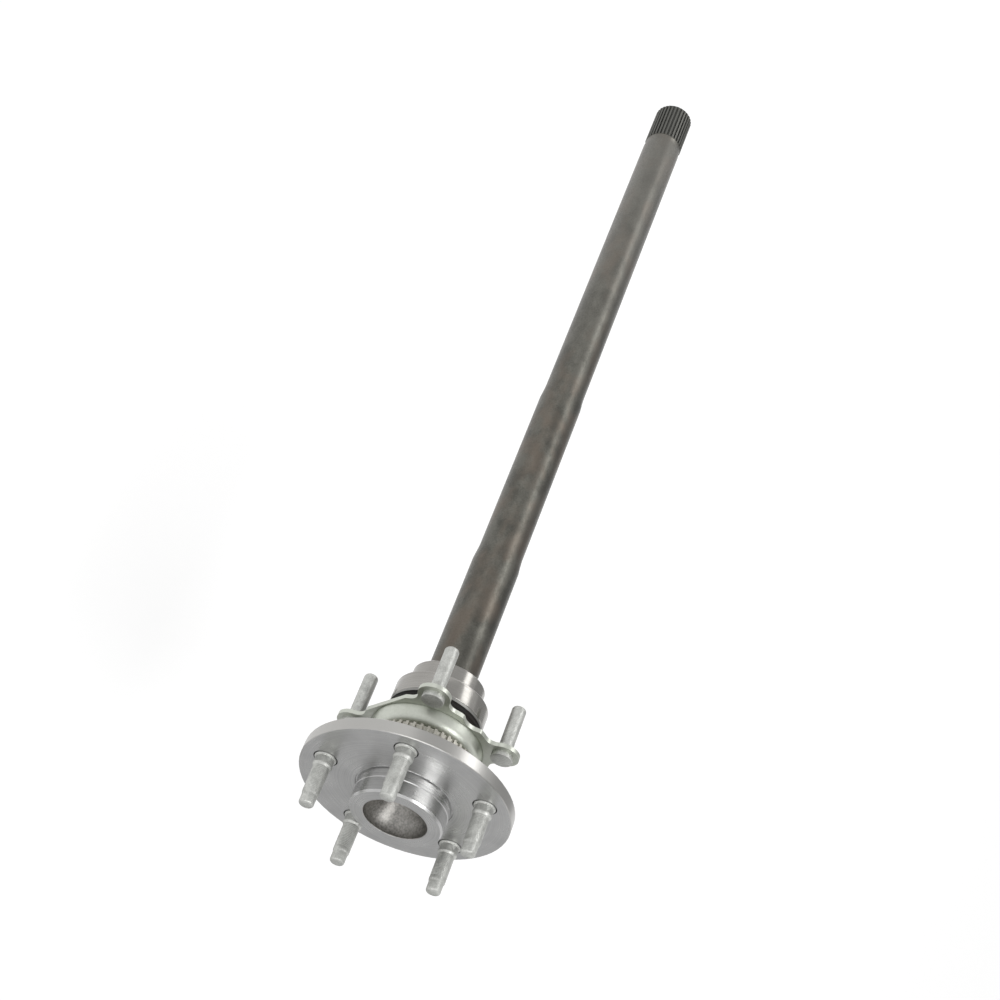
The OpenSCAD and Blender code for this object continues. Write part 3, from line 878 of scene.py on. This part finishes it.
def thread_tree(seats: Seats) -> tuple[Tree, dict[str, str]]:
    """Makes the tree that threads one plain stud and sets it in every seat.

    Args:
        seats: how the studs are laid out.

    Returns:
        The tree and its input identifiers.
    """
    thread = ("Pitch", "Thread Depth", "Thread Start", "Thread End", "Run Out")
    layout = ("Width", "Height", "Clock")
    tree, keys = new_tree(f"threaded_studs_on_{seats.value}", thread + layout, ("Count",))
    given = add(tree, "NodeGroupInput").node.outputs

    # the thread: a wave that climbs one pitch for each turn, cut into the shank, with a little of
    # the pitch left flat at its crest and its root
    half_pitch, flat = 0.5, 0.02
    split = add(tree, "ShaderNodeSeparateXYZ", {0: add(tree, "GeometryNodeInputPosition")}).node
    x, y, z = (split.outputs[k] for k in "XYZ")
    turn = add(tree, MATH, {0: y, 1: z}, operation="ARCTAN2")
    turns = add(tree, MATH, {0: turn, 1: math.tau}, operation="DIVIDE")
    climb = add(tree, MATH, {0: x, 1: given["Pitch"]}, operation="DIVIDE")
    phase = add(tree, MATH, {0: climb, 1: turns}, operation="SUBTRACT")
    wave = add(tree, MATH, {0: phase, 1: half_pitch}, operation="PINGPONG")
    groove = add(
        tree, RANGE, {"Value": wave, "From Min": flat, "From Max": half_pitch - flat},
        interpolation_type="SMOOTHSTEP",
    )
    first = add(tree, MATH, {0: x, 1: given["Thread Start"]}, operation="SUBTRACT")
    last = add(tree, MATH, {0: given["Thread End"], 1: x}, operation="SUBTRACT")
    within = add(tree, MATH, {0: first, 1: last}, operation="MINIMUM")
    fade = add(tree, RANGE, {"Value": within, "From Max": given["Run Out"]})
    depth = add(tree, MATH, {0: groove, 1: fade}, operation="MULTIPLY")
    depth = add(tree, MATH, {0: depth, 1: given["Thread Depth"]}, operation="MULTIPLY")
    spoke = add(tree, "ShaderNodeCombineXYZ", {"Y": y, "Z": z})
    spoke = add(tree, VECTOR, {0: spoke}, operation="NORMALIZE")
    inward = add(tree, MATH, {0: depth, 1: -1.0}, operation="MULTIPLY")
    shift = add(tree, VECTOR, {0: spoke, "Scale": inward}, operation="SCALE")
    stud = add(tree, "GeometryNodeSetPosition", {"Geometry": given["Geometry"], "Offset": shift})

    # the seats: even steps round a circle, or the corners of a rectangle
    number = add(tree, "GeometryNodeInputIndex")
    if seats is Seats.CIRCLE:
        seat_turn = add(tree, MATH, {0: math.tau, 1: given["Count"]}, operation="DIVIDE")
        seat_turn = add(tree, MATH, {0: seat_turn, 1: number}, operation="MULTIPLY")
        seat_turn = add(tree, MATH, {0: seat_turn, 1: given["Clock"]}, operation="ADD")
        side, rise = (add(tree, MATH, {0: seat_turn}, operation=kind) for kind in ("SINE", "COSINE"))
    else:
        # column and row are 0 or 1, and become -1 or 1
        column = add(tree, MATH, {0: number, 1: 2.0}, operation="MODULO")
        row = add(tree, MATH, {0: number, 1: 2.0}, operation="DIVIDE")
        row = add(tree, MATH, {0: row}, operation="FLOOR")
        side, rise = (
            add(tree, MATH, {0: place, 1: 2.0, 2: -1.0}, operation="MULTIPLY_ADD") for place in (column, row)
        )
    side = add(tree, MATH, {0: side, 1: given["Width"]}, operation="MULTIPLY")
    rise = add(tree, MATH, {0: rise, 1: given["Height"]}, operation="MULTIPLY")
    half = add(tree, "ShaderNodeCombineXYZ", {"Y": side, "Z": rise})
    spot = add(tree, VECTOR, {0: half, "Scale": 0.5}, operation="SCALE")
    points = add(tree, "GeometryNodePoints", {"Count": given["Count"], "Position": spot})
    placed = add(tree, "GeometryNodeInstanceOnPoints", {"Points": points, "Instance": stud})
    real = add(tree, "GeometryNodeRealizeInstances", {"Geometry": placed})
    painted = add(tree, "GeometryNodeSetMaterial", {"Geometry": real, "Material": given["Material"]})
    add(tree, "NodeGroupOutput", {"Geometry": painted})
    return tree, keys


def coil_tree() -> tuple[Tree, dict[str, str]]:
    """Makes the tree that winds a closed coil spring round the axle's axis.

    Returns:
        The tree and its input identifiers.
    """
    sizes = ("Ring Radius", "Coil Radius", "Wire Radius", "Middle")
    tree, keys = new_tree("garter_coil", sizes, ("Wire Sides", "Turns", "Steps"))
    given = add(tree, "NodeGroupInput").node.outputs
    ring = add(tree, "GeometryNodeCurvePrimitiveCircle", {"Resolution": given["Steps"], "Radius": 1.0})
    number = add(tree, "GeometryNodeInputIndex")
    share = add(tree, MATH, {0: number, 1: given["Steps"]}, operation="DIVIDE")
    round_axis = add(tree, MATH, {0: share, 1: math.tau}, operation="MULTIPLY")
    round_wire = add(tree, MATH, {0: round_axis, 1: given["Turns"]}, operation="MULTIPLY")
    out = add(tree, MATH, {0: round_wire}, operation="COSINE")
    reach = {0: out, 1: given["Coil Radius"], 2: given["Ring Radius"]}
    out = add(tree, MATH, reach, operation="MULTIPLY_ADD")
    lift = add(tree, MATH, {0: round_wire}, operation="SINE")
    station = {0: lift, 1: given["Coil Radius"], 2: given["Middle"]}
    lift = add(tree, MATH, station, operation="MULTIPLY_ADD")
    way = (add(tree, MATH, {0: round_axis}, operation=kind) for kind in ("SINE", "COSINE"))
    y, z = (add(tree, MATH, {0: part, 1: out}, operation="MULTIPLY") for part in way)
    spot = add(tree, "ShaderNodeCombineXYZ", {"X": lift, "Y": y, "Z": z})
    path = add(tree, "GeometryNodeSetPosition", {"Geometry": ring, "Position": spot})
    section = {"Resolution": given["Wire Sides"], "Radius": given["Wire Radius"]}
    wire = add(tree, "GeometryNodeCurvePrimitiveCircle", section)
    coil = add(tree, "GeometryNodeCurveToMesh", {"Curve": path, "Profile Curve": wire})
    real = add(tree, "GeometryNodeRealizeInstances", {"Geometry": coil})
    painted = add(tree, "GeometryNodeSetMaterial", {"Geometry": real, "Material": given["Material"]})
    add(tree, "NodeGroupOutput", {"Geometry": painted})
    return tree, keys


# Sub-assemblies


@dataclass
class SubAssembly:
    """A group of pieces that is built and dressed together."""

    nodes: dict[str, bpy.types.Object]
    finisher: Finisher

    def stand_in(self, name: str, body: str, slot: Slot, degrees: float = CRISP) -> None:
        """Shows a CAD node as its smoothed copy.

        Args:
            name: the CAD node.
            body: the body that it rides on.
            slot: its material slot.
            degrees: smallest angle that stays a crisp edge.
        """
        self.take_over(smooth_copy(self.nodes[name], degrees), name, body, slot)

    def take_over(self, piece: bpy.types.Object, name: str, body: str, slot: Slot) -> None:
        """Dresses a piece, lets it ride and shows it in place of a CAD node.

        Args:
            piece: the finished mesh object.
            name: the CAD node that it stands for.
            body: the body that it rides on.
            slot: its material slot.
        """
        self.finisher.dress(piece, slot)
        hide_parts(name)
        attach(piece, body)
        log.info("%s: %d faces, %s, on %s", piece.name, len(piece.data.polygons), slot.value, body)


@dataclass
class Studded(SubAssembly):
    """A sub-assembly with one set of threaded studs, all alike."""

    pitch: float = 1.27
    thread_depth: float = 0.16
    rows_per_turn: int = 8

    def stud(self) -> tuple[Profile, float, float]:
        """Gives the outline of a plain stud and the run of its thread.

        Returns:
            Radius and x from the head to the tip, and the two stations that the thread runs between.
        """
        raise NotImplementedError

    def set_studs(self, name: str, body: Body, columns: int, seats: Seats, layout: dict[str, float]) -> None:
        """Turns one plain stud, threads it, sets it in every seat and dresses the set.

        Args:
            name: the CAD node of the set.
            body: the body that it rides on.
            columns: faces round a stud.
            seats: how the studs are laid out.
            layout: the seats' count and sizes, by the thread tree's input names.
        """
        outline, start, end = self.stud()
        plain = turned(
            f"{name}_dressed", stepped(outline, start, end, self.pitch / self.rows_per_turn), columns
        )
        tree, keys = thread_tree(seats)
        thread = {
            "Pitch": self.pitch * MM,
            "Thread Depth": self.thread_depth * MM,
            "Thread Start": min(start, end) * MM,
            "Thread End": max(start, end) * MM,
            "Run Out": self.pitch * MM,
            "Material": self.finisher.get(Slot.STUD),
        }
        studs = run_tree(plain, tree, keys, thread | layout)
        self.take_over(studs, name, body.value, Slot.STUD)


@dataclass
class WheelEnd(Studded):
    """The forging with its wheel studs and speed ring.

    A field of steps holds the points that ease a corner of the stud's outline.
    """

    forging_crisp: float = 31.5
    stud_columns: int = 40
    stud_d: float = 12.7
    stud_reach: float = 40.5
    flange_t: float = 9.8
    head_d: float = 22.0
    head_t: float = 4.6
    head_edge: Steps = ((-1.0, 0.0), (0.0, 1.0))
    knurl_d: float = 16.9
    knurl_show: float = 1.0
    knurl_edge: Steps = ((0.0, -0.6), (-0.2, -0.25), (-0.6, 0.0))
    shoulder_d: float = 14.2
    shoulder_len: float = 5.6
    shoulder_fillet: Steps = ((0.3, 0.0), (0.0, 0.3))
    bead_d: float = 14.9
    bead_w: float = 2.0
    bead_run: float = 1.4
    bead_rise: Steps = ((-0.15, 0.45), (0.0, 0.8))
    bead_fall: Steps = ((0.0, -0.3), (-0.15, 0.0))
    dog_d: float = 11.4
    dog_len: float = 10.2
    thread_short: float = 0.8
    thread_edge: Steps = ((-0.06, 1.6), (-0.2, 2.1))
    dog_fillet: Steps = ((0.12, 2.9), (0.0, 3.5))
    tip_edge: Steps = ((0.0, -1.3), (-0.25, -0.7), (-0.6, -0.25), (-1.1, 0.0))

    def stud(self) -> tuple[Profile, float, float]:
        """Gives the outline of a plain wheel stud and the run of its thread.

        Returns:
            Radius and x from the head to the tip, and the two stations that the thread runs between.
        """
        head_r, knurl_r, shoulder_r = self.head_d / 2, self.knurl_d / 2, self.shoulder_d / 2
        bead_r, thread_r, dog_r = self.bead_d / 2, self.stud_d / 2, self.dog_d / 2
        back = -self.flange_t
        bottom = back - self.head_t
        bead_end = self.shoulder_len + self.bead_w
        start = bead_end + self.bead_run
        end = self.stud_reach - self.dog_len - self.thread_short
        outline = [
            (0.0, bottom),
            *eased(head_r, bottom, self.head_edge),
            (head_r, back),
            (knurl_r, back),
            *eased(knurl_r, self.knurl_show, self.knurl_edge),
            *eased(shoulder_r, self.knurl_show, self.shoulder_fillet),
            (shoulder_r, self.shoulder_len),
            *eased(bead_r, self.shoulder_len, self.bead_rise),
            *eased(bead_r, bead_end, self.bead_fall),
            (thread_r, start),
            (thread_r, end),
            *eased(thread_r, end, self.thread_edge),
            *eased(dog_r, end, self.dog_fillet),
            *eased(dog_r, self.stud_reach, self.tip_edge),
            (0.0, self.stud_reach),
        ]
        return outline, start, end

    def build(self) -> None:
        """Builds and dresses the forging, the ring and the studs."""
        self.stand_in("axle_shaft", Body.AXLE.value, Slot.FORGED, self.forging_crisp)
        self.stand_in("speed_ring", Body.AXLE.value, Slot.RING)
        circle = {
            "Count": WHEEL_STUDS.count,
            "Width": WHEEL_STUDS.diameter * MM,
            "Height": WHEEL_STUDS.diameter * MM,
            "Clock": math.radians(WHEEL_STUDS.clock),
        }
        self.set_studs("wheel_studs", Body.AXLE, self.stud_columns, Seats.CIRCLE, circle)


@dataclass
class Retainer(Studded):
    """The stamped plate and the four studs that bolt the axle to its housing.

    Outside hat_face_r the hat leans by hat_draft degrees, wherever its skin looks outwards or to the
    front by more than hat_facing, from 0 to 1.
    """

    plate_at: float = 51.5
    plate_t: float = 3.4
    hat_face_r: float = 34.0
    hat_draft: float = 13.0
    hat_facing: float = 0.3
    stud_count: int = 4
    stud_columns: int = 36
    rise: float = 91.0
    span: float = 75.0
    bolt_d: float = 11.1
    neck_d: float = 11.8
    neck_len: float = 3.0
    reach: float = 40.5
    head_d: float = 17.0
    head_h: float = 4.0
    head_edge: Steps = ((-0.6, 0.0), (-0.18, -0.18), (0.0, -0.6))
    nose: float = 3.0
    nose_rows: int = 6

    def stud(self) -> tuple[Profile, float, float]:
        """Gives the outline of a plain retainer stud and the run of its thread.

        Returns:
            Radius and x from the head to the tip, and the two stations that the thread runs between.
        """
        front = -self.plate_at
        back = front - self.plate_t
        tip = back - self.reach
        head_r, bolt_r, neck_r = self.head_d / 2, self.bolt_d / 2, self.neck_d / 2
        top = front + self.head_h
        start = back - self.neck_len - (neck_r - bolt_r)
        end = tip + self.nose
        outline = [
            (0.0, top),
            *eased(head_r, top, self.head_edge),
            (head_r, front),
            (neck_r, front),
            (neck_r, back - self.neck_len),
            (bolt_r, start),
            (bolt_r, end),
        ]
        outline += [
            (bolt_r - self.nose * (1 - math.cos(t)), end - self.nose * math.sin(t))
            for t in (math.pi / 2 * i / self.nose_rows for i in range(1, self.nose_rows + 1))
        ]
        outline.append((0.0, tip))
        return outline, start, end

    def taper_hat(self, plate: bpy.types.Object) -> None:
        """Leans the outside of the hat inwards, as deep drawing leaves it.

        Args:
            plate: the plate's smoothed copy.
        """
        foot = -self.plate_at * MM
        lean = math.tan(math.radians(self.hat_draft))
        # read before any point moves, because a move sets all normals anew
        facings = [vertex.normal.copy() for vertex in plate.data.vertices]
        for vertex, facing in zip(plate.data.vertices, facings):
            rise = vertex.co.x - foot
            spoke = Vector((0.0, vertex.co.y, vertex.co.z))
            radius = spoke.length
            if rise <= 0 or radius < self.hat_face_r * MM:
                continue
            spoke /= radius
            # the outer skin only: it looks outwards or to the front
            if max(facing.x, facing.dot(spoke)) > self.hat_facing:
                vertex.co -= spoke * rise * lean

    def build(self) -> None:
        """Builds and dresses the plate and its studs."""
        plate = smooth_copy(self.nodes["retainer_plate"])
        self.taper_hat(plate)
        self.take_over(plate, "retainer_plate", Body.HOUSING.value, Slot.PLATE)
        rectangle = {"Count": self.stud_count, "Width": self.span * MM, "Height": self.rise * MM}
        self.set_studs("retainer_studs", Body.HOUSING, self.stud_columns, Seats.RECTANGLE, rectangle)


@dataclass
class OilSeal(SubAssembly):
    """The pressed case with its rubber sleeve, lip and garter spring."""

    wire_r: float = 0.28
    wire_sides: int = 6
    turns: int = 150
    steps_per_turn: int = 10

    def build(self) -> None:
        """Builds and dresses the case, the rubber and the spring."""
        self.stand_in("seal_case", Body.HOUSING.value, Slot.CASE)
        self.stand_in("housing_seal", Body.HOUSING.value, Slot.RUBBER)
        self.stand_in("oil_seal_lip", Body.HOUSING.value, Slot.RUBBER)
        low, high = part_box("garter_spring")
        coil_r = (high.x - low.x) / 2
        sizes = {
            "Ring Radius": high.z - coil_r,
            "Coil Radius": coil_r - self.wire_r * MM,
            "Wire Radius": self.wire_r * MM,
            "Wire Sides": self.wire_sides,
            "Middle": (low.x + high.x) / 2,
            "Turns": self.turns,
            "Steps": self.turns * self.steps_per_turn,
            "Material": self.finisher.get(Slot.SPRING),
        }
        name = "garter_spring"
        bare = new_object(f"{name}_dressed", bpy.data.meshes.new(name))
        spring = run_tree(bare, *coil_tree(), sizes)
        self.take_over(spring, name, Body.HOUSING.value, Slot.SPRING)


@dataclass
class TaperBearing(SubAssembly):
    """The tapered roller bearing and the collar that locks it on the shaft."""

    roller_count: int = 18

    def build(self) -> None:
        """Builds and dresses the rings, the cage, the rollers and the collar."""
        self.stand_in("bearing_cup", Body.HOUSING.value, Slot.BEARING)
        self.stand_in("bearing_cone", Body.AXLE.value, Slot.BEARING)
        self.stand_in("locking_collar", Body.AXLE.value, Slot.BEARING)
        self.stand_in("roller_cage", Body.CAGE.value, Slot.CAGE)
        for i in range(1, self.roller_count + 1):
            self.stand_in(f"roller_{i}", f"roller_{i}", Slot.BEARING)


# Studio


def aimed(place: Point, aim: Point) -> Quaternion:
    """Gives the turn that points a lamp, card or camera from its place at its aim."""
    return (Vector(aim) - Vector(place)).to_track_quat("-Z", "Y")


@dataclass(frozen=True)
class Hung:
    """A rectangle that hangs in the studio, placed and aimed in millimetres."""

    name: str
    place: Point
    aim: Point
    size: tuple[float, float]


@dataclass(frozen=True)
class Softbox(Hung):
    """A soft rectangular lamp."""

    watts: float

    def build(self) -> None:
        """Hangs the lamp."""
        lamp = bpy.data.lights.new(self.name, "AREA")
        lamp.shape = "RECTANGLE"
        lamp.size, lamp.size_y = (s * MM for s in self.size)
        lamp.energy = self.watts
        made = bpy.data.objects.new(self.name, lamp)
        bpy.context.scene.collection.objects.link(made)
        made.location = Vector(self.place) * MM
        made.rotation_euler = aimed(self.place, self.aim).to_euler()


@dataclass(frozen=True)
class Flag(Hung):
    """A grey studio card that only shows in mirrors.

    Bright metal in an all-white room looks flat, so a photographer hangs such cards round it.
    """

    grey: str

    def build(self) -> None:
        """Hangs the card, unseen by the camera and casting no shadow."""
        turn = aimed(self.place, self.aim)
        half_w, half_h = (s / 2 for s in self.size)
        spots = [(-half_w, -half_h, 0), (half_w, -half_h, 0), (half_w, half_h, 0), (-half_w, half_h, 0)]
        mesh = bpy.data.meshes.new(self.name)
        mesh.from_pydata([(Vector(self.place) + turn @ Vector(s)) * MM for s in spots], [], [(0, 1, 2, 3)])
        made = new_object(self.name, mesh)
        card, tree = new_material(f"{self.name}_card")
        shine = add(tree, "ShaderNodeEmission", {"Color": linear(self.grey), "Strength": 1.0})
        add(tree, "ShaderNodeOutputMaterial", {"Surface": shine})
        mesh.materials.append(card)
        made.visible_camera = made.visible_diffuse = made.visible_shadow = False
        made.visible_transmission = made.visible_volume_scatter = False


@dataclass
class Studio:
    """A plain white studio with the photograph's camera.

    The axle is held by its housing studs at about the hub height of such a vehicle, so the floor
    lies that far below it.
    """

    eye: Point = (706.135, -705.041, 1077.434)
    target: Point = (-284.408, -14.064, -8.945)
    roll: float = -68.378
    lens: float = 72.0135
    sensor: float = 36.0
    nearest: float = 50.0
    farthest: float = 100000.0
    floor_z: float = -370.0
    floor_size: float = 30000.0
    floor_grey: str = "#c0c0c0"
    glow_near: float = 0.62
    glow_far: float = 0.78
    glow_from: float = 1200.0
    glow_to: float = 5000.0
    fill: float = 0.5
    lamps: Sequence[Softbox] = (
        Softbox("top_strip", (-1800, 380, 1250), (-1800, 0, 0), (3200, 430), 11),
        Softbox("wheel_end_strip", (740, 200, 1250), (0, 0, 0), (800, 430), 5.5),
        Softbox("front_box", (1500, -500, 500), (0, 0, 0), (900, 900), 4),
        Softbox("back_box", (-1500, -1200, 700), (-300, 0, 0), (900, 900), 0.8),
    )
    flags: Sequence[Flag] = (
        Flag("ceiling_flag", (400, 0, 1700), (400, 0, 0), (4400, 3400), "#d8d8d8"),
        Flag("side_flag", (-2000, 1800, 650), (-2000, 0, 650), (3000, 2000), "#bababa"),
        Flag("wheel_end_flag", (880, 1300, 930), (0, 0, 0), (1000, 700), "#8a8a8a"),
        Flag("floor_card", (150, 150, -366), (150, 150, 0), (600, 600), "#c9c9c9"),
    )

    def build(self) -> None:
        """Builds the world, floor, lamps, flags and camera."""
        self._world()
        self._floor()
        for lamp in self.lamps:
            lamp.build()
        for flag in self.flags:
            flag.build()
        self._camera()
        bpy.context.scene.view_settings.view_transform = "Standard"

    def _seen(self, tree: Tree) -> Socket:
        """Tells rays that show the background from rays that only light the object.

        Args:
            tree: the world's or floor's tree.

        Returns:
            A socket that is 1 for camera, mirror and see-through rays and 0 for others.
        """
        path = add(tree, "ShaderNodeLightPath").node.outputs
        rays = {0: path["Is Camera Ray"], 1: path["Is Glossy Ray"]}
        both = add(tree, MATH, rays, operation="MAXIMUM")
        return add(tree, MATH, {0: both, 1: path["Is Transmission Ray"]}, operation="MAXIMUM")

    def _world(self) -> None:
        """Makes a white world that is white where it is seen and dimmer where it lights."""
        world = bpy.data.worlds.new("white_studio")
        world.use_nodes = True
        tree = world.node_tree
        tree.nodes.clear()
        seen = self._seen(tree)
        strength = add(tree, RANGE, {"Value": seen, "To Min": self.fill, "To Max": 1.0})
        light = add(tree, "ShaderNodeBackground", {"Color": WHITE, "Strength": strength})
        add(tree, "ShaderNodeOutputWorld", {"Surface": light})
        bpy.context.scene.world = world

    def _floor(self) -> None:
        """Lays a plain pale floor that shows white and keeps the object's shadow."""
        half, z = self.floor_size * MM / 2, self.floor_z * MM
        mesh = bpy.data.meshes.new("floor")
        spots = [(-half, -half, z), (half, -half, z), (half, half, z), (-half, half, z)]
        mesh.from_pydata(spots, [], [(0, 1, 2, 3)])
        floor = new_object("floor", mesh)
        paper, tree = new_material("white_paper_floor")
        place = add(tree, "ShaderNodeTexCoord", out="Object")
        away = add(tree, VECTOR, {0: place}, out="Value", operation="LENGTH")
        lift = add(
            tree, RANGE,
            {"Value": away, "From Min": self.glow_from * MM, "From Max": self.glow_to * MM,
             "To Min": self.glow_near, "To Max": self.glow_far},
        )
        glow = add(tree, MATH, {0: self._seen(tree), 1: lift}, operation="MULTIPLY")
        matte = add(tree, "ShaderNodeBsdfDiffuse", {"Color": linear(self.floor_grey)})
        shine = add(tree, "ShaderNodeEmission", {"Color": WHITE, "Strength": glow})
        both = add(tree, "ShaderNodeAddShader", {0: matte, 1: shine})
        add(tree, "ShaderNodeOutputMaterial", {"Surface": both})
        mesh.materials.append(paper)

    def _camera(self) -> None:
        """Sets the camera where the photograph was taken."""
        lens = bpy.data.cameras.new("camera")
        lens.sensor_width = self.sensor
        lens.lens = self.lens
        lens.clip_start, lens.clip_end = self.nearest * MM, self.farthest * MM
        camera = bpy.data.objects.new("camera", lens)
        bpy.context.scene.collection.objects.link(camera)
        camera.location = Vector(self.eye) * MM
        camera.rotation_mode = "QUATERNION"
        roll = Quaternion((0.0, 0.0, 1.0), math.radians(-self.roll))
        camera.rotation_quaternion = aimed(self.eye, self.target) @ roll
        bpy.context.scene.camera = camera


def main() -> None:
    """Builds every piece in order, then the studio."""
    logging.basicConfig(level=logging.INFO, format="%(name)s: %(message)s")
    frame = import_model()
    finisher = Finisher()
    for kind in (WheelEnd, Retainer, OilSeal, TaperBearing):
        group = kind(frame["nodes"], finisher)
        log.info("building %s", kind.__name__)
        group.build()
    Studio().build()


if __name__ == "__main__":
    main()
